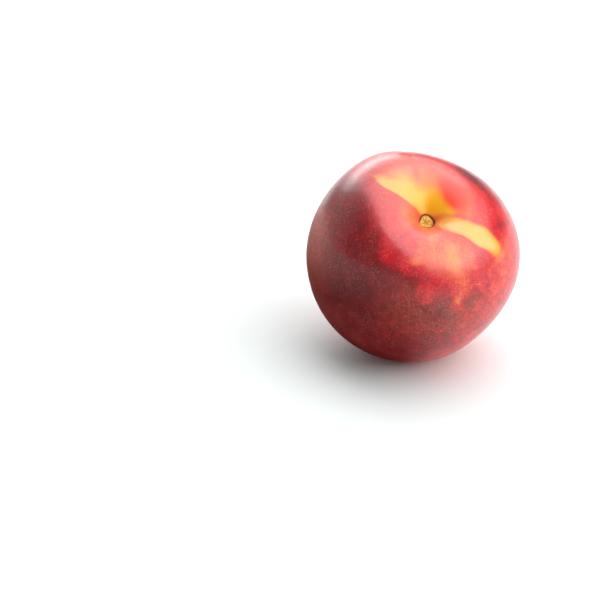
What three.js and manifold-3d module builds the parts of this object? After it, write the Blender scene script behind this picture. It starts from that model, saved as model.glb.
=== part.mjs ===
// A whole nectarine with the short stub of its stalk, lying on a small flat spot with the stem end
// tipped up and forwards. Millimetres, +Z up, origin on the resting surface under the middle of the fruit.
//
// The fruit is first shaped in its own frame: +Z runs from the tip to the stem, and the suture (the
// seam down one side) runs down the +Y side. Its skin is one radius for each direction from the
// middle, given by a polar angle from the stem and an azimuth from the suture, positive towards +X.
import * as THREE from "three";
import { mergeVertices } from "three/addons/utils/BufferGeometryUtils.js";
import Module from "manifold-3d";

const degrees = THREE.MathUtils.degToRad;

// Driving dimensions
const GIRTH_RADIUS = 36.1; // half the fruit's width, square to its stem axis
const STEM_END = 33.5; // height of the stem half before the hollow is sunk into it
const TIP_END = 37.2; // height of the longer half that ends in the tip
const LEAN = degrees(37); // how far the stem axis leans from upright, towards -Y
const HEADING = degrees(11.7); // how far the lean is turned towards +X
const REST_DEPTH = 1.0; // how much the fruit is flattened where it rests

// The stem hollow: a funnel that opens out into a valley along the suture
const HOLLOW = { depth: 11, spread: degrees(15.5), fall: 1.5, valley: 0.35, valleyHalf: degrees(35) };

// The suture groove: deepest on the shoulder, shallow round the cheeks and again clear near the tip
const GROOVE = { depth: 0.6, half: 4 };

// Cheeks stand out or fall back from the round form, strongest at the girth
const CHEEKS = [
  { azimuth: degrees(-13), half: degrees(24), rise: 2 }, // the full lip left of the suture
  { azimuth: degrees(26), half: degrees(45), rise: -1.9 }, // the flatter cheek right of it
  { azimuth: degrees(-95), half: degrees(50), rise: 0.3 },
  { azimuth: degrees(150), half: degrees(45), rise: -0.4 },
];

// A flatter place low on the right, where the fruit grew against its neighbour
const FLAT = { polar: degrees(108), azimuth: degrees(133), spread: degrees(30), rise: -1.4 };

// The tip: a low point in a shallow dimple
const TIP = { rise: 1.1, spread: degrees(8), dimple: 0.7, dimpleSpread: degrees(17) };

// The stalk's stub, which stands in a socket in the floor of the hollow
const STUB = { radius: 2.45, sunk: 1.3, stands: 1.8, crown: 0.5, lobing: 0.09 };
const CLEARANCE = 0.3; // between the stub and the fruit

// How finely the surfaces are divided
const AROUND = 72;
const RINGS = 54;
const STUB_SIDES = 24;

const bell = (distance, spread) => Math.exp(-((distance / spread) ** 2));

function direction(polar, azimuth) {
  const out = Math.sin(polar);
  return new THREE.Vector3(out * Math.sin(azimuth), out * Math.cos(azimuth), Math.cos(polar));
}

const flatDirection = direction(FLAT.polar, FLAT.azimuth);

function skinRadius(polar, azimuth) {
  const up = Math.cos(polar);
  const out = Math.sin(polar);
  const end = up > 0 ? STEM_END : TIP_END;
  let radius = 1 / Math.hypot(out / GIRTH_RADIUS, up / end);
  for (const cheek of CHEEKS) {
    const turn = Math.atan2(Math.sin(azimuth - cheek.azimuth), Math.cos(azimuth - cheek.azimuth));
    radius += cheek.rise * out ** 2 * bell(turn, cheek.half);
  }
  radius += FLAT.rise * bell(flatDirection.angleTo(direction(polar, azimuth)), FLAT.spread);
  const fromSeam = azimuth * out * GIRTH_RADIUS;
  radius -= GROOVE.depth * out * (0.65 + 0.35 * Math.cos(2 * polar)) * bell(fromSeam, GROOVE.half);
  const spread = HOLLOW.spread * (1 + HOLLOW.valley * bell(azimuth, HOLLOW.valleyHalf));
  radius -= HOLLOW.depth * Math.exp(-((polar / spread) ** HOLLOW.fall));
  radius += TIP.rise * bell(Math.PI - polar, TIP.spread);
  radius -= TIP.dimple * bell(Math.PI - polar, TIP.dimpleSpread);
  return radius;
}

function skinGeometry() {
  const geometry = new THREE.SphereGeometry(1, AROUND, RINGS).rotateX(Math.PI / 2);
  const position = geometry.getAttribute("position");
  const point = new THREE.Vector3();
  for (let i = 0; i < position.count; i++) {
    point.fromBufferAttribute(position, i).normalize();
    const polar = Math.acos(THREE.MathUtils.clamp(point.z, -1, 1));
    point.multiplyScalar(skinRadius(polar, Math.atan2(point.x, point.y)));
    position.setXYZ(i, point.x, point.y, point.z);
  }
  return geometry;
}

// The stub's outline is a rounded triangle, and its torn end is a low crown.
function stubGeometry() {
  const height = STUB.sunk + STUB.stands;
  const profile = [
    new THREE.Vector2(0, 0),
    new THREE.Vector2(STUB.radius * 0.94, 0),
    new THREE.Vector2(STUB.radius, STUB.sunk),
    new THREE.Vector2(STUB.radius * 0.98, height - STUB.crown),
    new THREE.Vector2(STUB.radius * 0.8, height - STUB.crown * 0.3),
    new THREE.Vector2(STUB.radius * 0.4, height),
    new THREE.Vector2(0, height - STUB.crown * 0.4),
  ];
  const geometry = new THREE.LatheGeometry(profile, STUB_SIDES).rotateX(Math.PI / 2);
  const position = geometry.getAttribute("position");
  for (let i = 0; i < position.count; i++) {
    const turn = Math.atan2(position.getY(i), position.getX(i));
    const swell = 1 - STUB.lobing * Math.sin(3 * turn);
    position.setXY(i, position.getX(i) * swell, position.getY(i) * swell);
  }
  return geometry;
}

const wasm = await Module();
wasm.setup();

function solidFrom(geometry) {
  const bare = geometry.clone();
  bare.deleteAttribute("normal");
  bare.deleteAttribute("uv");
  const merged = mergeVertices(bare);
  const vertProperties = merged.getAttribute("position").array;
  const triVerts = new Uint32Array(merged.index.array);
  return new wasm.Manifold(new wasm.Mesh({ numProp: 3, vertProperties, triVerts }));
}

function geometryFrom(solid) {
  const mesh = solid.getMesh();
  const geometry = new THREE.BufferGeometry();
  geometry.setAttribute("position", new THREE.BufferAttribute(mesh.vertProperties, 3));
  geometry.setIndex(new THREE.BufferAttribute(mesh.triVerts, 1));
  return geometry;
}

// The group that lays the upright fruit down on its flat spot
const leaning = new THREE.Group();
leaning.name = "leaning_fruit";
leaning.rotation.set(LEAN, 0, HEADING, "ZXY");
leaning.updateMatrix();

const skin = skinGeometry();
const laid = skin.clone().applyMatrix4(leaning.matrix);
laid.computeBoundingBox();
const restHeight = laid.boundingBox.min.z + REST_DEPTH;

// Everything under the resting plane, as a block in the fruit's own frame
function belowRestPlane() {
  const side = 4 * GIRTH_RADIUS;
  const block = new THREE.BoxGeometry(side, side, side).translate(0, 0, restHeight - side / 2);
  return block.applyMatrix4(leaning.matrix.clone().invert());
}

const hollowFloor = skinRadius(0, Math.PI);
const stubBase = hollowFloor - STUB.sunk;

// The socket is the stub's own outline grown by the clearance, open upwards.
function socketGeometry() {
  const grown = 1 + CLEARANCE / STUB.radius;
  const tall = (STUB.sunk + STUB.stands + 2 * CLEARANCE) / (STUB.sunk + STUB.stands);
  return stubGeometry().scale(grown, grown, tall).translate(0, 0, stubBase - CLEARANCE);
}

const fruitSolid = solidFrom(skin)
  .subtract(solidFrom(belowRestPlane()))
  .subtract(solidFrom(socketGeometry()));

const fruit = new THREE.Mesh(
  geometryFrom(fruitSolid),
  new THREE.MeshStandardMaterial({ color: "#b02a2c", roughness: 0.38, metalness: 0 }),
);
fruit.name = "fruit";

const stub = new THREE.Mesh(
  stubGeometry(),
  new THREE.MeshStandardMaterial({ color: "#b98a3c", roughness: 0.75, metalness: 0 }),
);
stub.name = "stem_stub";
stub.position.z = stubBase;

leaning.add(fruit, stub);

const nectarine = new THREE.Group();
nectarine.name = "nectarine";
nectarine.add(leaning);

// The origin: on the resting plane, under the middle of the fruit's bounding box
nectarine.updateMatrixWorld(true);
const bounds = new THREE.Box3().setFromObject(fruit, true);
leaning.position.x = -(bounds.min.x + bounds.max.x) / 2;
leaning.position.y = -(bounds.min.y + bounds.max.y) / 2;
leaning.position.z = -restHeight;

export default nectarine;
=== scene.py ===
"""A ripe nectarine on a pale floor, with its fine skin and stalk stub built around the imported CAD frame.

Blender 4.5. Objects are in metres in the CAD frame, +Z up. The fruit's shape is worked out in millimetres
in its own frame, as the CAD model does: +Z runs from the tip to the stem, and the suture runs down the +Y
side. A place on the skin is a polar angle from the stem and an azimuth from the suture, positive towards +X.
"""

import math

import bpy
import numpy as np
from mathutils import Matrix, Vector, noise


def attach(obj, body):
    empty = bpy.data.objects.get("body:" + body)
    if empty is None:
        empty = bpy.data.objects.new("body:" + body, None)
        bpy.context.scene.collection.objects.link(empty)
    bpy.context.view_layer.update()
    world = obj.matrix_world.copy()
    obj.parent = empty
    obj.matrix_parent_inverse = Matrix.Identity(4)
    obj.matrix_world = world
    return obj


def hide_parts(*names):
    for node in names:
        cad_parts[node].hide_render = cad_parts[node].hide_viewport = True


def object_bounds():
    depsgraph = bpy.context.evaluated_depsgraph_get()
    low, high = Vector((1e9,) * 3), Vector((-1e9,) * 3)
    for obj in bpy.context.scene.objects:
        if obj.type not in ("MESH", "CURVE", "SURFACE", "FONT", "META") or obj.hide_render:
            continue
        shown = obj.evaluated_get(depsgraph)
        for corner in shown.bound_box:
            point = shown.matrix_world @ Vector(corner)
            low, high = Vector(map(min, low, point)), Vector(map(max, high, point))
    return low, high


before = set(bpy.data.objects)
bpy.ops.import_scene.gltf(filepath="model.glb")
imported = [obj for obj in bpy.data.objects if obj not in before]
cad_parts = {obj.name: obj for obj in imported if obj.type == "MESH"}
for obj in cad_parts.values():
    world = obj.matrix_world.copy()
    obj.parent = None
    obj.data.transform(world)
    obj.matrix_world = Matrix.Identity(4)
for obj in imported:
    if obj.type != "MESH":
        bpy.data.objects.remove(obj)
cad_low, cad_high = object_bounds()

MM = 0.001

# The fruit's form, in millimetres and degrees, the same as the CAD model's
GIRTH_RADIUS = 36.1
STEM_END = 33.5
TIP_END = 37.2
LEAN = 37
HEADING = 11.7
REST_DEPTH = 1.0
HOLLOW_DEPTH = 11
HOLLOW_SPREAD = 15.5
HOLLOW_FALL = 1.5
VALLEY = 0.35
VALLEY_HALF = 35
GROOVE_DEPTH = 0.6
GROOVE_HALF = 4.0
CHEEKS = [  # azimuth, half width, rise
    (-13, 24, 2.0),
    (26, 45, -1.9),
    (-95, 50, 0.3),
    (150, 45, -0.4),
]
FLAT = (108, 133, 30, -1.4)  # polar, azimuth, spread, rise
TIP_RISE, TIP_SPREAD = 1.1, 8
DIMPLE_DEPTH, DIMPLE_SPREAD = 0.7, 17
STUB_RADIUS = 2.45
STUB_SUNK = 1.3
STUB_STANDS = 1.8
STUB_LOBING = 0.09
CLEARANCE = 0.3

# The CAD leaves out a swelling to the right of the suture and a dent beside it, on the wall behind the stem
SWELLINGS = [  # polar, azimuth, spread, rise
    (27, 60, 10, 0.8),
    (27, 12, 9, -0.7),
]

SKIN_GAP = 0.08  # between the stub and the fine skin, less than the CAD clearance
LIP_FILLET = 0.18  # rounding of the socket's lip
LIP_CORK = 0.12  # how far the cork spreads out from the lip
SCAR_RISE, SCAR_SPREAD = 0.35, 1.2  # the scar on the tip
SCAR_CORK = 1.6  # how far the cork spreads over the tip, in degrees

# How finely the skin is divided, with columns round it and rows from the stem to the tip, and the stub
COLUMNS = 360
ROWS = 236
STUB_COLUMNS = 96


def bell(distance, spread):
    return np.exp(-((distance / spread) ** 2))


def wrapped(angle):
    """The angle brought to between -pi and pi."""
    return np.arctan2(np.sin(angle), np.cos(angle))


def direction(polar, azimuth):
    out = np.sin(polar)
    return np.stack([out * np.sin(azimuth), out * np.cos(azimuth), np.cos(polar)], -1)


def skin_radius(polar, azimuth):
    """The CAD model's skin, as a distance from the fruit's middle in each direction."""
    up, out = np.cos(polar), np.sin(polar)
    end = np.where(up > 0, STEM_END, TIP_END)
    radius = 1 / np.hypot(out / GIRTH_RADIUS, up / end)
    for centre, half, rise in CHEEKS:
        turn = wrapped(azimuth - math.radians(centre))
        radius = radius + rise * out**2 * bell(turn, math.radians(half))
    toward = direction(math.radians(FLAT[0]), math.radians(FLAT[1]))
    apart = np.arccos(np.clip(direction(polar, azimuth) @ toward, -1, 1))
    radius = radius + FLAT[3] * bell(apart, math.radians(FLAT[2]))
    from_seam = azimuth * out * GIRTH_RADIUS
    radius = radius - GROOVE_DEPTH * out * (0.65 + 0.35 * np.cos(2 * polar)) * bell(from_seam, GROOVE_HALF)
    spread = math.radians(HOLLOW_SPREAD) * (1 + VALLEY * bell(azimuth, math.radians(VALLEY_HALF)))
    radius = radius - HOLLOW_DEPTH * np.exp(-((polar / spread) ** HOLLOW_FALL))
    radius = radius + TIP_RISE * bell(math.pi - polar, math.radians(TIP_SPREAD))
    return radius - DIMPLE_DEPTH * bell(math.pi - polar, math.radians(DIMPLE_SPREAD))


def lumps(points, size, seed):
    """Smooth noise from about -1 to 1, with features of that size in the points' own unit."""
    shift = Vector((17.3, 31.7, 5.1)) * seed
    flat = points.reshape(-1, 3) / size
    found = [noise.noise(Vector(point) + shift) for point in flat.tolist()]
    return np.array(found).reshape(points.shape[:-1])


def socket_swell(azimuth):
    """The stub's outline is a rounded triangle."""
    return 1 + STUB_LOBING * np.cos(3 * azimuth)


def fine_relief(polar, azimuth):
    """What the CAD skin leaves out.

    Slow undulation, puckers and swellings round the stem, the suture's crease and a scar on the tip.
    """
    places = direction(polar, azimuth)
    relief = 0.16 * lumps(places, 0.42, 1) + 0.04 * lumps(places, 0.11, 2)
    near_stem = np.exp(-((polar / math.radians(17)) ** 2)) * (1 - np.exp(-((polar / math.radians(7)) ** 4)))
    pucker = lumps(np.stack([3 * np.sin(azimuth), 3 * np.cos(azimuth), polar], -1), 0.5, 3)
    relief = relief + 0.09 * near_stem * pucker
    for centre_polar, centre_azimuth, spread, rise in SWELLINGS:
        middle = direction(math.radians(centre_polar), math.radians(centre_azimuth))
        apart = np.arccos(np.clip(places @ middle, -1, 1))
        relief = relief + rise * bell(apart, math.radians(spread))
    across = azimuth * np.sin(polar) * GIRTH_RADIUS
    relief = relief - 0.08 * np.sin(polar) ** 2 * bell(across, 0.6)
    return relief + SCAR_RISE * bell(math.pi - polar, math.radians(SCAR_SPREAD))


def surface(polar, azimuth):
    return skin_radius(polar, azimuth) + fine_relief(polar, azimuth)


def lip_polar(azimuth, lip):
    """The polar angle at which the skin stands over the socket's lip, for each azimuth."""
    tries = np.radians(np.linspace(2, 14, 121))[:, None]
    span, around = np.broadcast_arrays(tries, azimuth[None, :])
    out = skin_radius(span, around) * np.sin(span)
    return np.array([np.interp(lip[i], out[:, i], tries[:, 0]) for i in range(len(azimuth))])


def polar_steps():
    """Shares of the way from the socket's lip to the tip, closest together at both ends."""
    ruler = np.linspace(0, 1, 2001)
    crowding = 1 + 3.2 * bell(ruler, 0.12) + 1.2 * bell(1 - ruler, 0.06)
    travelled = np.concatenate([[0], np.cumsum((crowding[1:] + crowding[:-1]) / 2)])
    return np.interp(np.linspace(0, 1, ROWS), travelled / travelled[-1], ruler)


def own_to_row():
    """Lays the upright fruit down: the stem leans towards -Y and is then turned towards +X."""
    lean = Matrix.Rotation(math.radians(LEAN), 3, "X")
    return np.array(Matrix.Rotation(math.radians(HEADING), 3, "Z") @ lean)


def resting(points, level, softness=0.25):
    """Presses what lies below the level up to it, with a slightly rounded edge."""
    height = points[..., 2] - level
    points[..., 2] = level + 0.5 * (height + np.hypot(height, softness))
    return points


def rows_mesh(name, rows, close_start, close_end):
    """A mesh from rows of points that each run round the stem, closed by a fan at either end."""
    count, around = rows.shape[:2]
    points = rows.reshape(-1, 3)
    here = np.arange(around)
    following = (here + 1) % around
    faces = []
    for i in range(count - 1):
        low, high = i * around, (i + 1) * around
        faces += np.stack([low + here, low + following, high + following, high + here], -1).tolist()
    extra = []
    for closing, row in ((close_start, 0), (close_end, count - 1)):
        if closing is None:
            continue
        tip = len(points) + len(extra)
        extra.append(closing)
        first, second = (following, here) if row == 0 else (here, following)
        faces += [[row * around + a, row * around + b, tip] for a, b in zip(first, second)]
    mesh = bpy.data.meshes.new(name)
    mesh.from_pydata(np.vstack([points, extra]).tolist(), [], faces)
    mesh.shade_smooth()
    mesh.validate()
    return mesh


def add_object(name, mesh):
    made = bpy.data.objects.new(name, mesh)
    bpy.context.scene.collection.objects.link(made)
    return made


def set_attribute(mesh, name, values):
    mesh.attributes.new(name, "FLOAT", "POINT").data.foreach_set("value", values.astype(np.float32))


# The skin's colouring. Blush runs from 0, the bare yellow ground, to 1, the darkest maroon.
# Each stroke is an oval on the skin, laid over those before it: where its middle is (polar, azimuth), how
# far it reaches along and across its own axis, all in degrees, how far that axis is turned from the
# meridian, how soft its two sides are, and the blush it brings.
BLUSH_STROKES = [
    # the red shoulder round the stem, the dark cheek and the dusky front; the dark cheek and the low left
    # side are partly the skin's own maroon and partly painted shade from things that stood beside the fruit
    ((16, 8), (32, 34), 0, (0.4, 0.4), 0.52),
    ((66, -90), (33, 46), 0, (0.22, 0.22), 0.85),
    ((76, -142), (38, 36), 0, (0.2, 0.2), 0.86),
    ((104, -110), (34, 60), 0, (0.4, 0.4), 0.90),
    ((66, -122), (16, 14), 0, (0.9, 0.9), 0.96),
    ((70, 178), (22, 24), 0, (0.5, 0.5), 0.84),
    ((84, 150), (20, 22), 0, (0.6, 0.6), 0.66),
    ((33, -134), (6.5, 14), 0, (0.5, 0.5), 0.62),
    ((40, -106), (5, 8), 0, (0.7, 0.7), 0.82),
    ((37, -152), (3.5, 7), 0, (0.7, 0.7), 0.64),
    ((41, -176), (5, 9), 0, (0.6, 0.6), 0.72),
    ((44, 176), (5, 7), 0, (0.6, 0.6), 0.72),
    ((50, 142), (7, 8), 0, (0.6, 0.6), 0.60),
    ((60, 128), (12, 12), 0, (0.7, 0.7), 0.54),
    ((58, 54), (14, 22), 0, (0.9, 0.9), 0.74),
    ((46, 50), (5.5, 11), 0, (0.8, 0.8), 0.92),
    ((48, 72), (5, 8), 0, (0.7, 0.7), 0.72),
    ((48, 86), (7, 6), 0, (0.7, 0.7), 0.58),
    # the left rim, lighter and warmer: painted reflection of warm fruit beside it
    ((79, -78), (12, 16), 0, (0.9, 0.9), 0.70),
    # warm tan in front of the stem, drawn out along the meridians
    ((29, 168), (13, 14), 0, (0.6, 0.6), 0.41),
    ((30, 161), (9, 4), 0, (0.9, 0.9), 0.34),
    ((33, 148), (8, 4), 0, (0.8, 0.8), 0.42),
    ((22, 180), (8, 4), 0, (0.8, 0.8), 0.40),
    ((28, -158), (5, 5), 0, (0.8, 0.8), 0.42),
    ((32, -155), (2.6, 2.4), 0, (0.8, 0.8), 0.36),
    ((36, -178), (3, 5), 0, (0.8, 0.8), 0.54),
    # mottled orange low on the front
    ((46, 163), (6, 5), 0, (0.9, 0.9), 0.38),
    ((55, 168), (6, 3), 20, (0.9, 0.9), 0.48),
    ((47, -171), (5, 5), 0, (0.95, 0.95), 0.60),
    # the right-hand side beyond the bare streak
    ((52, 112), (7, 5), 0, (0.8, 0.8), 0.49),
    ((49, 121), (4, 4), 0, (0.8, 0.8), 0.34),
    ((47, 97), (3.6, 4), 0, (0.7, 0.7), 0.72),
    # warm skin behind the stem, the golden wall of the hollow and the spot on it
    ((6, 180), (9, 9), 0, (0.5, 0.5), 0.37),
    ((38, -28), (4, 8), 0, (0.8, 0.8), 0.42),
    ((26, -4), (12, 14), 0, (0.5, 0.6), 0.37),
    ((36, -2), (8, 2), 0, (0.9, 0.9), 0.46),
    ((43, 6), (5, 12), 0, (0.8, 0.8), 0.48),
    ((20, 6), (8, 7), 0, (0.7, 0.7), 0.30),
    ((25, -25), (8, 5.5), 0, (0.8, 0.8), 0.20),
    ((12, 20), (7, 14), 0, (0.5, 0.5), 0.18),
    ((14, 60), (5.5, 9), 0, (0.8, 0.8), 0.20),
    ((12, -82), (5.5, 9), 0, (0.7, 0.7), 0.38),
    ((10, 108), (4, 5), 0, (0.7, 0.7), 0.34),
    ((23, 82), (4, 7), 0, (0.9, 0.9), 0.38),
    ((21, 58), (5, 8), 0, (0.8, 0.8), 0.46),
    ((21, 60), (3, 6), 0, (0.9, 0.9), 0.53),
    # the two bare yellow streaks
    ((26, -40), (12.5, 3.2), -2, (0.25, 0.9), 0.05),
    ((19.5, 120.5), (9.2, 4.7), -2, (0.6, 0.4), 0.0),
    ((32, 119.5), (13, 5.8), -4, (0.4, 0.25), 0.04),
    ((43, 119), (4, 4), 0, (0.9, 0.9), 0.0),
    # the far side
    ((92, 32), (26, 20), 10, (0.8, 0.8), 0.34),
    ((104, 44), (12, 7), 0, (0.8, 0.8), 0.16),
    ((118, -20), (20, 18), 0, (0.8, 0.8), 0.74),
    ((130, 90), (18, 16), 0, (0.8, 0.8), 0.50),
]
GROUND_BLUSH = 0.60

# Where pale dots show, and where the colour breaks into flecks, given as strokes of the same kind
SPECKLE_STROKES = [
    ((14, 0), (32, 32), 0, (0.3, 0.3), 0.0),
    ((60, -85), (28, 50), 0, (0.4, 0.4), 1.0),
    ((66, 168), (26, 40), 0, (0.5, 0.5), 1.0),
    ((66, -140), (18, 20), 0, (0.5, 0.5), 0.55),
    ((30, 120), (17, 7), 0, (0.5, 0.5), 0.0),
]
GROUND_SPECKLE = 0.7
FLECK_STROKES = [
    ((18, 0), (30, 30), 0, (0.5, 0.5), 0.1),
    ((62, 168), (24, 34), 0, (0.6, 0.6), 1.3),
    ((30, 165), (14, 20), 0, (0.7, 0.7), 0.4),
    ((76, -76), (16, 16), 0, (0.8, 0.8), 1.3),
    ((30, 120), (18, 7), 0, (0.5, 0.5), 0.05),
]
GROUND_FLECK = 0.6

# Where the maroon turns to a brownish tan. The first stroke, on the left rim, is a painted reflection of
# warm fruit beside it; the other two are the skin's own tan.
TAN_AND_WARM_REFLECTION_STROKES = [
    ((80, -80), (17, 18), 0, (0.8, 0.8), 0.55),
    ((66, 165), (14, 16), 0, (0.8, 0.8), 0.30),
    ((60, -160), (14, 14), 0, (0.8, 0.8), 0.20),
]
GROUND_TAN_AND_REFLECTION = 0.0

# The wall behind the stem: its golden part, the red spot on it, and how much less waxy it is than the rest
GOLD_STROKES = [
    ((13, 22), (7, 14), 0, (0.9, 0.9), 1.0),
    ((14, 58), (5.5, 10), 0, (0.95, 0.95), 1.0),
]
SPOT_STROKES = [((20.5, 60), (4.5, 8.5), 0, (0.9, 0.9), 1.0)]
MATT_STROKES = [((17, 48), (12, 20), 0, (0.5, 0.5), 1.0)]


def painted(places, ground, strokes):
    """The value that the strokes leave at each place, which is a unit vector in the fruit's own frame."""
    value = np.full(places.shape[:-1], float(ground))
    for (polar, azimuth), (along, across), turn, edges, new in strokes:
        polar, azimuth, turn = np.radians([polar, azimuth, turn])
        middle = direction(polar, azimuth)
        outward = direction(polar + math.pi / 2, azimuth)
        sideways = np.array([math.cos(azimuth), -math.sin(azimuth), 0])
        apart = np.arccos(np.clip(places @ middle, -1, 1))
        flat = places - middle * (places @ middle)[..., None]
        flat /= np.maximum(np.linalg.norm(flat, axis=-1, keepdims=True), 1e-9)
        m, a = apart * (flat @ outward), apart * (flat @ sideways)
        u = (m * math.cos(turn) + a * math.sin(turn)) / math.radians(along)
        w = (a * math.cos(turn) - m * math.sin(turn)) / math.radians(across)
        reach = np.hypot(u, w)
        softness = np.where(w < 0, edges[0], edges[1])
        share = np.clip((1 + softness - reach) / (2 * softness), 0, 1)
        value += (new - value) * share * share * (3 - 2 * share)
    return value


def unsteady(places):
    """Places moved a little, so that a stroke's edge wavers as real colour does."""
    waver = np.stack([lumps(places, 0.22, seed) for seed in (11, 12, 13)], -1)
    finer = np.stack([lumps(places, 0.07, seed) for seed in (14, 15, 16)], -1)
    moved = places + 0.02 * waver + 0.006 * finer
    return moved / np.linalg.norm(moved, axis=-1, keepdims=True)


def make_skin():
    """The whole skin, with the socket that the stub stands in. Returns the object and how it is placed."""
    azimuth = np.linspace(-math.pi, math.pi, COLUMNS, endpoint=False)
    swell = socket_swell(azimuth)
    wall = (STUB_RADIUS + SKIN_GAP) * swell
    start = lip_polar(azimuth, wall + LIP_FILLET)
    polar = start[None, :] + (math.pi - start[None, :]) * polar_steps()[:-1, None]
    around = np.broadcast_to(azimuth[None, :], polar.shape)
    reach = surface(polar, around)
    outside = direction(polar, around) * reach[..., None]

    lip = outside[0]
    floor = STEM_END - HOLLOW_DEPTH - STUB_SUNK - CLEARANCE
    outward = np.stack([np.sin(azimuth), np.cos(azimuth)], -1)
    inner = []
    for bend in np.radians([30, 60, 90]):
        radius = wall + LIP_FILLET * (1 - np.sin(bend))
        height = lip[:, 2] - LIP_FILLET * (1 - np.cos(bend))
        inner.append(np.column_stack([outward * radius[:, None], height]))
    for share in (0.25, 0.5, 0.75, 1.0):
        height = (lip[:, 2] - LIP_FILLET) * (1 - share) + floor * share
        inner.append(np.column_stack([outward * wall[:, None], height]))
    for share in (0.66, 0.33):
        inner.append(np.column_stack([outward * wall[:, None] * share, np.full(COLUMNS, floor)]))
    rows = np.concatenate([np.array(inner[::-1]), outside])
    inner_count = len(inner)

    turn = own_to_row()
    tip = np.array([0, 0, -float(surface(np.array(math.pi), np.array(0.0)))])
    laid = rows @ turn.T
    laid_tip = tip @ turn.T
    level = laid[..., 2].min() + REST_DEPTH
    laid = resting(laid, level)
    low, high = laid.reshape(-1, 3).min(0), laid.reshape(-1, 3).max(0)
    cad_middle = (cad_low + cad_high) / 2 / MM
    move = np.array([cad_middle.x, cad_middle.y, cad_low.z / MM]) - [*(low + high)[:2] / 2, low[2]]
    bottom = np.array([0, 0, floor]) @ turn.T
    mesh = rows_mesh("nectarine_skin", (laid + move) * MM, (bottom + move) * MM, (laid_tip + move) * MM)

    places = direction(polar, around)
    moved = unsteady(places)
    edge_places = np.broadcast_to(moved[0], (inner_count, COLUMNS, 3))
    every_place = np.concatenate([edge_places, moved]).reshape(-1, 3)
    ends = np.array([[0, 0, 1.0], [0, 0, -1.0]])
    every_place = np.vstack([every_place, ends])
    cork = np.concatenate([np.ones((inner_count, COLUMNS)), bell((polar - start) * reach, LIP_CORK)])
    cork = np.append(cork.reshape(-1), [1.0, 0.0])
    around_all = np.arctan2(every_place[:, 0], every_place[:, 1])
    polar_all = np.arccos(np.clip(every_place[:, 2], -1, 1))
    scar = bell(math.pi - polar_all, math.radians(SCAR_CORK))
    set_attribute(mesh, "blush", painted(every_place, GROUND_BLUSH, BLUSH_STROKES))
    set_attribute(mesh, "speckle", painted(every_place, GROUND_SPECKLE, SPECKLE_STROKES))
    set_attribute(mesh, "fleck", painted(every_place, GROUND_FLECK, FLECK_STROKES))
    set_attribute(mesh, "tan", painted(every_place, GROUND_TAN_AND_REFLECTION, TAN_AND_WARM_REFLECTION_STROKES))
    set_attribute(mesh, "gold", painted(every_place, 0, GOLD_STROKES))
    set_attribute(mesh, "spot", painted(every_place, 0, SPOT_STROKES))
    set_attribute(mesh, "matt", painted(every_place, 0, MATT_STROKES))
    set_attribute(mesh, "cork", np.maximum(cork, scar))
    set_attribute(mesh, "hollow", bell(polar_all, math.radians(20)))
    grain = np.stack([9 * np.sin(around_all), 9 * np.cos(around_all), 2.2 * polar_all], -1)
    layer = mesh.attributes.new("grain", "FLOAT_VECTOR", "POINT")
    layer.data.foreach_set("vector", grain.astype(np.float32).reshape(-1))
    return add_object("nectarine_skin", mesh), turn, move


def make_stub(turn, move):
    """The dry end of the stalk: a dark rim round a torn, fibrous face with a sunken middle."""
    around = np.linspace(-math.pi, math.pi, STUB_COLUMNS, endpoint=False)
    outward = np.stack([np.sin(around), np.cos(around)], -1)
    base = STEM_END - HOLLOW_DEPTH - STUB_SUNK
    top = base + STUB_SUNK + STUB_STANDS
    profile = [  # share of the radius, height
        (0.5, base),
        (0.94, base),
        (0.97, base + 0.6),
        (1.0, base + STUB_SUNK),
        (1.0, top - 0.75),
        (0.985, top - 0.45),
        (0.93, top - 0.2),
        (0.86, top - 0.1),
    ]
    for share in np.linspace(0.8, 0.06, 22):
        profile.append((share, top - 0.16 - 0.34 * math.exp(-((share / 0.3) ** 2))))
    rows, shares = [], []
    for share, height in profile:
        radius = STUB_RADIUS * share * socket_swell(around)
        face = 1.0 if height > top - 0.5 else 0.0
        spot = np.column_stack([outward * radius[:, None], np.full(len(around), height)])
        fibre = lumps(spot * [1, 1, 0.3], 0.42, 21) * 0.16 + lumps(spot, 0.16, 22) * 0.07
        tilt = 0.16 * np.sin(around + 0.6) * share
        spot[:, 2] += face * (fibre * min(1, 1.6 - share) + tilt - 0.12)
        rows.append(spot)
        shares.append(np.full(len(around), share if height > top - 0.5 else 1.1))
    rows = np.array(rows)
    middle_top = rows[-1].mean(0) - [0, 0, 0.04]
    laid = (rows @ turn.T + move) * MM
    bottom = (np.array([0, 0, base]) @ turn.T + move) * MM
    mesh = rows_mesh("stalk_stub", laid[::-1], (middle_top @ turn.T + move) * MM, bottom)
    across = np.append(np.array(shares)[::-1].reshape(-1), [0.0, 1.1])
    set_attribute(mesh, "across", across)
    return add_object("stalk_stub", mesh)


def colour(code):
    """A linear colour from a web colour such as #F8DC62."""
    parts = [int(code[i : i + 2], 16) / 255 for i in (1, 3, 5)]
    linear = [p / 12.92 if p <= 0.04045 else ((p + 0.055) / 1.055) ** 2.4 for p in parts]
    return (*linear, 1)


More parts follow.
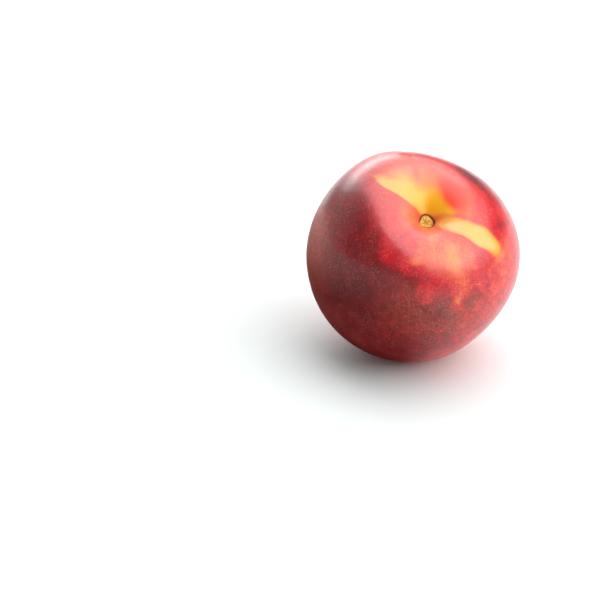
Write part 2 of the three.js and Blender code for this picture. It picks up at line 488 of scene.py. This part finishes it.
class Nodes:
    """A material's node tree, with short ways to add and join what is used here."""

    def __init__(self, name):
        self.material = bpy.data.materials.new(name)
        self.material.use_nodes = True
        self.tree = self.material.node_tree
        self.shader = self.tree.nodes["Principled BSDF"]

    def add(self, kind, inputs=(), **settings):
        made = self.tree.nodes.new(kind)
        for key, value in settings.items():
            setattr(made, key, value)
        for key, value in dict(inputs).items():
            self.feed(made, key, value)
        return made

    def feed(self, target, key, value):
        """Sets an input to a value, or links it if the value is another node's output."""
        if isinstance(value, bpy.types.NodeSocket):
            self.tree.links.new(value, target.inputs[key])
        else:
            target.inputs[key].default_value = value

    def attribute(self, name, output="Fac"):
        return self.add("ShaderNodeAttribute", attribute_name=name).outputs[output]

    def math(self, operation, first, second=0.0, third=0.0, clamp=False):
        made = self.add("ShaderNodeMath", operation=operation, use_clamp=clamp)
        for slot, value in enumerate((first, second, third)):
            self.feed(made, slot, value)
        return made.outputs[0]

    def remap(self, value, low, high, new_low=0.0, new_high=1.0):
        """Carries low..high smoothly to new_low..new_high, and holds it there outside."""
        inputs = {"Value": value, "From Min": low, "From Max": high, "To Min": new_low, "To Max": new_high}
        return self.add("ShaderNodeMapRange", inputs, interpolation_type="SMOOTHSTEP").outputs[0]

    def mix(self, share, first, second, blend="MIX"):
        made = self.add("ShaderNodeMix", data_type="RGBA", blend_type=blend)
        self.feed(made, 0, share)
        self.feed(made, 6, first)
        self.feed(made, 7, second)
        return made.outputs[2]

    def ramp(self, value, stops):
        made = self.add("ShaderNodeValToRGB", {"Fac": value})
        elements = made.color_ramp.elements
        elements.remove(elements[1])
        elements[0].position, elements[0].color = stops[0][0], colour(stops[0][1])
        for position, code in stops[1:]:
            elements.new(position).color = colour(code)
        return made.outputs["Color"]

    def noise(self, vector, scale, detail=2.0, roughness=0.5):
        inputs = {"Vector": vector, "Scale": scale, "Detail": detail, "Roughness": roughness}
        return self.add("ShaderNodeTexNoise", inputs).outputs["Fac"]


BLUSH_RAMP = [
    (0.00, "#EBBA70"),
    (0.05, "#EBA535"),
    (0.18, "#F2A43A"),
    (0.26, "#F58A1E"),
    (0.36, "#E06C38"),
    (0.44, "#DC4A24"),
    (0.52, "#CC2C1E"),
    (0.58, "#CE0C1C"),
    (0.66, "#B60A1A"),
    (0.76, "#950D15"),
    (0.88, "#7C1012"),
    (1.00, "#640C0E"),
]


def skin_material():
    n = Nodes("nectarine_skin")
    place = n.add("ShaderNodeTexCoord").outputs["Object"]
    grain = n.attribute("grain", "Vector")
    blush = n.attribute("blush")
    fleck = n.attribute("fleck")
    speckle = n.attribute("speckle")

    # colour that breaks into flecks and runs in short streaks along the meridians
    broad = n.math("SUBTRACT", n.noise(place, 215, 4, 0.6), 0.5)
    small = n.math("SUBTRACT", n.noise(place, 700, 3, 0.6), 0.5)
    streaks = n.math("SUBTRACT", n.noise(grain, 1.6, 3, 0.6), 0.5)
    finest = n.math("SUBTRACT", n.noise(place, 1800, 2, 0.5), 0.5)
    broken = n.math("MULTIPLY_ADD", broad, 0.55, n.math("MULTIPLY", small, 0.4))
    broken = n.math("MULTIPLY_ADD", finest, 0.18, broken)
    broken = n.math("MULTIPLY", broken, fleck)
    run = n.math("MULTIPLY_ADD", streaks, n.math("MULTIPLY_ADD", fleck, 0.12, 0.03), broken)
    toned = n.math("ADD", blush, run)

    # pale dots in three sizes, crowded together in some places
    dots = 0.0
    crowded = n.math("MULTIPLY", speckle, n.remap(n.noise(place, 150, 3), 0.36, 0.64, 0.1, 1.2))
    for spacing, size, share in ((0.0014, 0.16, 0.8), (0.0010, 0.22, 0.9), (0.0006, 0.32, 0.8)):
        cells = n.add("ShaderNodeTexVoronoi", {"Vector": place, "Scale": 1 / spacing})
        spot = n.remap(cells.outputs["Distance"], size * 1.4, size * 0.5)
        chance = n.add("ShaderNodeSeparateColor", {"Color": cells.outputs["Color"]})
        kept = n.math("GREATER_THAN", crowded, chance.outputs[0])
        strength = n.math("MULTIPLY_ADD", chance.outputs[1], 0.6, 0.4)
        dot = n.math("MULTIPLY", n.math("MULTIPLY", spot, kept), n.math("MULTIPLY", strength, share))
        dots = n.math("MAXIMUM", dot, dots)
    lighter = n.math("MULTIPLY_ADD", dots, -0.10, toned)
    skin = n.ramp(lighter, BLUSH_RAMP)
    golden = n.math("MULTIPLY", n.attribute("gold"), n.remap(blush, 0.46, 0.2))
    skin = n.mix(golden, skin, colour("#FFB400"))
    skin = n.mix(n.attribute("spot"), skin, colour("#FF3A0A"))
    patchy = n.remap(n.noise(place, 800, 3), 0.35, 0.65, 0.4, 1.4)
    tan_and_reflection_share = n.math("MULTIPLY", n.attribute("tan"), patchy, clamp=True)
    # brownish tan, and on the left rim a painted reflection of warm fruit beside it
    skin = n.mix(tan_and_reflection_share, skin, colour("#B05A3C"))
    skin = n.mix(n.math("MULTIPLY", dots, 0.42), skin, colour("#D07C80"))
    corky = n.ramp(n.noise(place, 2600, 3), [(0.3, "#7A3608"), (0.7, "#B46420")])
    cork = n.math("MULTIPLY", n.attribute("cork"), 1.0, clamp=True)
    n.feed(n.shader, "Base Color", n.mix(cork, skin, corky))

    waxy = n.noise(place, 260, 3)
    rough = n.remap(waxy, 0.3, 0.7, 0.31, 0.39)
    rough = n.math("MULTIPLY_ADD", n.attribute("hollow"), 0.2, rough)
    n.feed(n.shader, "Roughness", n.math("MULTIPLY_ADD", cork, 0.4, rough))
    dull = n.math("MAXIMUM", cork, n.attribute("matt"))
    n.feed(n.shader, "Coat Weight", n.math("MULTIPLY_ADD", dull, -0.45, 0.45))
    n.feed(n.shader, "Coat Roughness", 0.21)
    n.feed(n.shader, "Coat IOR", 1.5)
    n.feed(n.shader, "IOR", 1.45)
    n.feed(n.shader, "Subsurface Weight", 0.1)
    n.feed(n.shader, "Subsurface Radius", (1.0, 0.35, 0.15))
    n.feed(n.shader, "Subsurface Scale", 0.002)

    pores = n.noise(place, 1500, 2)
    bump = n.add("ShaderNodeBump", {"Height": pores, "Strength": 0.35, "Distance": 0.00006})
    n.feed(n.shader, "Normal", bump.outputs["Normal"])
    return n.material


def stub_material():
    n = Nodes("stalk_stub")
    place = n.add("ShaderNodeTexCoord").outputs["Object"]
    ragged = n.math("SUBTRACT", n.noise(place, 1400, 3), 0.5)
    across = n.math("MULTIPLY_ADD", ragged, 0.34, n.attribute("across"))
    tissue = [
        (0.00, "#B89414"),
        (0.30, "#DCA828"),
        (0.55, "#FCC04E"),
        (0.84, "#FCB848"),
        (0.93, "#9A5214"),
        (1.00, "#7A3406"),
    ]
    fibres = n.ramp(n.noise(place, 1500, 3, 0.6), [(0.36, "#7A4612"), (0.56, "#FFFFFF")])
    n.feed(n.shader, "Base Color", n.mix(0.6, n.ramp(across, tissue), fibres, "MULTIPLY"))
    n.feed(n.shader, "Roughness", 0.8)
    torn = n.noise(place, 4200, 3)
    bump = n.add("ShaderNodeBump", {"Height": torn, "Strength": 0.6, "Distance": 0.00015})
    n.feed(n.shader, "Normal", bump.outputs["Normal"])
    return n.material


# Slightly cool, so that the red light which the fruit throws on its shadow looks neutral
FLOOR_WHITE = (0.90, 0.95, 0.945, 1)


def floor_material():
    n = Nodes("studio_floor")
    n.feed(n.shader, "Base Color", FLOOR_WHITE)
    n.feed(n.shader, "Roughness", 0.9)
    n.feed(n.shader, "Specular IOR Level", 0.1)
    return n.material


def make_floor():
    half = 4.0
    mesh = bpy.data.meshes.new("studio_floor")
    corners = [(-half, -half, 0), (half, -half, 0), (half, half, 0), (-half, half, 0)]
    mesh.from_pydata(corners, [], [(0, 1, 2, 3)])
    mesh.materials.append(floor_material())
    floor = add_object("studio_floor", mesh)


def make_card():
    """A dark card round the left and front of the fruit, seen only in reflections.

    It stands in for dark things round the real fruit, and fades out at its ends and its top.
    """
    foot, wall, height = (0.015, 0.062), 0.072, 0.055  # its flat foot's two edges, its wall, its height
    turns = np.radians(np.linspace(-215, -5, 71))
    part = np.linspace(0, 1, len(turns))
    fade = np.clip(np.minimum(part, 1 - part) / 0.26, 0, 1)
    fade = fade * fade * (3 - 2 * fade)
    profile = [  # reach, share of the height, how dark
        (foot[0], 0, 1),
        (foot[1], 0, 1),
        (0.5 * (foot[1] + wall), 0.2, 1),
        (wall, 0.6, 0.6),
        (wall, 1, 0),
    ]
    rows = [
        np.column_stack([reach * np.sin(turns), reach * np.cos(turns), 0.0004 + height * rise * fade])
        for reach, rise, shade in profile
    ]
    count = len(turns)
    faces = [
        (row * count + i, row * count + i + 1, (row + 1) * count + i + 1, (row + 1) * count + i)
        for row in range(len(rows) - 1)
        for i in range(count - 1)
    ]
    mesh = bpy.data.meshes.new("dark_card")
    mesh.from_pydata(np.concatenate(rows).tolist(), [], faces)
    set_attribute(mesh, "fade", np.concatenate([fade * shade for reach, rise, shade in profile]))
    n = Nodes("dark_card")
    n.feed(n.shader, "Base Color", n.mix(n.attribute("fade"), FLOOR_WHITE, (0.12, 0.035, 0.02, 1)))
    n.feed(n.shader, "Roughness", 1.0)
    mesh.materials.append(n.material)
    card = add_object("dark_card", mesh)
    card.visible_camera = False
    card.visible_diffuse = False
    card.visible_shadow = False
    card.visible_transmission = False


def make_light(name, place, toward, size, radiance, roll=0):
    """A soft rectangular light of that radiance, aimed at a point and rolled that many degrees."""
    lamp = bpy.data.lights.new(name, "AREA")
    lamp.shape = "RECTANGLE"
    lamp.size, lamp.size_y = size
    lamp.energy = radiance * math.pi * size[0] * size[1]
    made = add_object(name, lamp)
    made.location = place
    aim = (Vector(toward) - Vector(place)).to_track_quat("-Z", "Y").to_matrix()
    made.rotation_euler = (aim @ Matrix.Rotation(math.radians(roll), 3, "Z")).to_euler()
    made.visible_camera = False
    return made


def make_camera():
    """Looks down from the stem side, with the fruit to the right of the picture's middle and above it."""
    elevation = math.radians(27)
    distance = 0.75
    field = 0.2028  # how much of the scene is as wide as the picture, at the fruit
    width = cad_high.x - cad_low.x
    right_of_middle, above_middle = 0.530 * width, 0.200 * width
    toward = Vector((0, math.cos(elevation), -math.sin(elevation)))
    up = Vector((0, math.sin(elevation), math.cos(elevation)))
    data = bpy.data.cameras.new("camera")
    data.sensor_width = 36
    data.lens = data.sensor_width * distance / field
    data.clip_start, data.clip_end = 0.01, 20
    camera = add_object("camera", data)
    aim = (cad_low + cad_high) / 2 - Vector((right_of_middle, 0, 0)) - up * above_middle
    camera.location = aim - toward * distance
    camera.rotation_euler = toward.to_track_quat("-Z", "Y").to_euler()
    bpy.context.scene.camera = camera


# The long softbox that hangs over the fruit: its height, how many degrees it is turned, and where its near
# edge is along its own first axis, in metres from the point over the fruit
SOFTBOX_HEIGHT = 1.0
SOFTBOX_TURN = 28.4
SOFTBOX_NEAR_EDGE = -0.34


def hang_softbox(name, far_edge, front_end, back_end, radiance, above=0.0):
    """Hangs a light whose near edge is the softbox's own, and whose other edges are where they are given."""
    turn = Matrix.Rotation(math.radians(SOFTBOX_TURN), 3, "Z")
    height = SOFTBOX_HEIGHT + above
    middle = turn @ Vector(((SOFTBOX_NEAR_EDGE + far_edge) / 2, (front_end + back_end) / 2, height))
    size = (far_edge - SOFTBOX_NEAR_EDGE, back_end - front_end)
    return make_light(name, middle, (middle.x, middle.y, 0), size, radiance, SOFTBOX_TURN)


def make_studio():
    """Pale surroundings and a long softbox. The glows and the back softbox count only in reflections."""
    make_floor()
    make_card()
    hang_softbox("softbox", 1.9, -2.3, 3.0, 1.8)
    for name, far_edge, front_end, back_end, radiance in (
        ("softbox_glow", 1.1, -2.6, 0.7, 2.4),
        ("back_glow", 1.2, 1.7, 4.0, 3.0),
    ):
        glow = hang_softbox(name, far_edge, front_end, back_end, radiance, above=-0.05)
        glow.visible_diffuse = False
    back = make_light("back_softbox", (-0.45, 2.1, 0.55), (0, 0, 0.05), (1.2, 0.7), 2.2)
    back.visible_diffuse = False
    make_light("right_softbox", (1.12, -0.52, 0.46), (0, 0, 0.04), (1.1, 0.6), 3.0)
    make_light("left_fill", (-0.95, 0.45, 0.45), (0, 0, 0.04), (1.0, 0.9), 0.45)
    world = bpy.data.worlds.new("studio")
    world.use_nodes = True
    background = world.node_tree.nodes["Background"]
    background.inputs["Color"].default_value = (1, 1, 1, 1)
    background.inputs["Strength"].default_value = 0.18
    bpy.context.scene.world = world
    bpy.context.scene.view_settings.view_transform = "Standard"


make_camera()
make_studio()

skin, turn, move = make_skin()
skin.data.materials.append(skin_material())
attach(skin, "root")
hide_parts("fruit")

stub = make_stub(turn, move)
stub.data.materials.append(stub_material())
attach(stub, "root")
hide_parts("stem_stub")
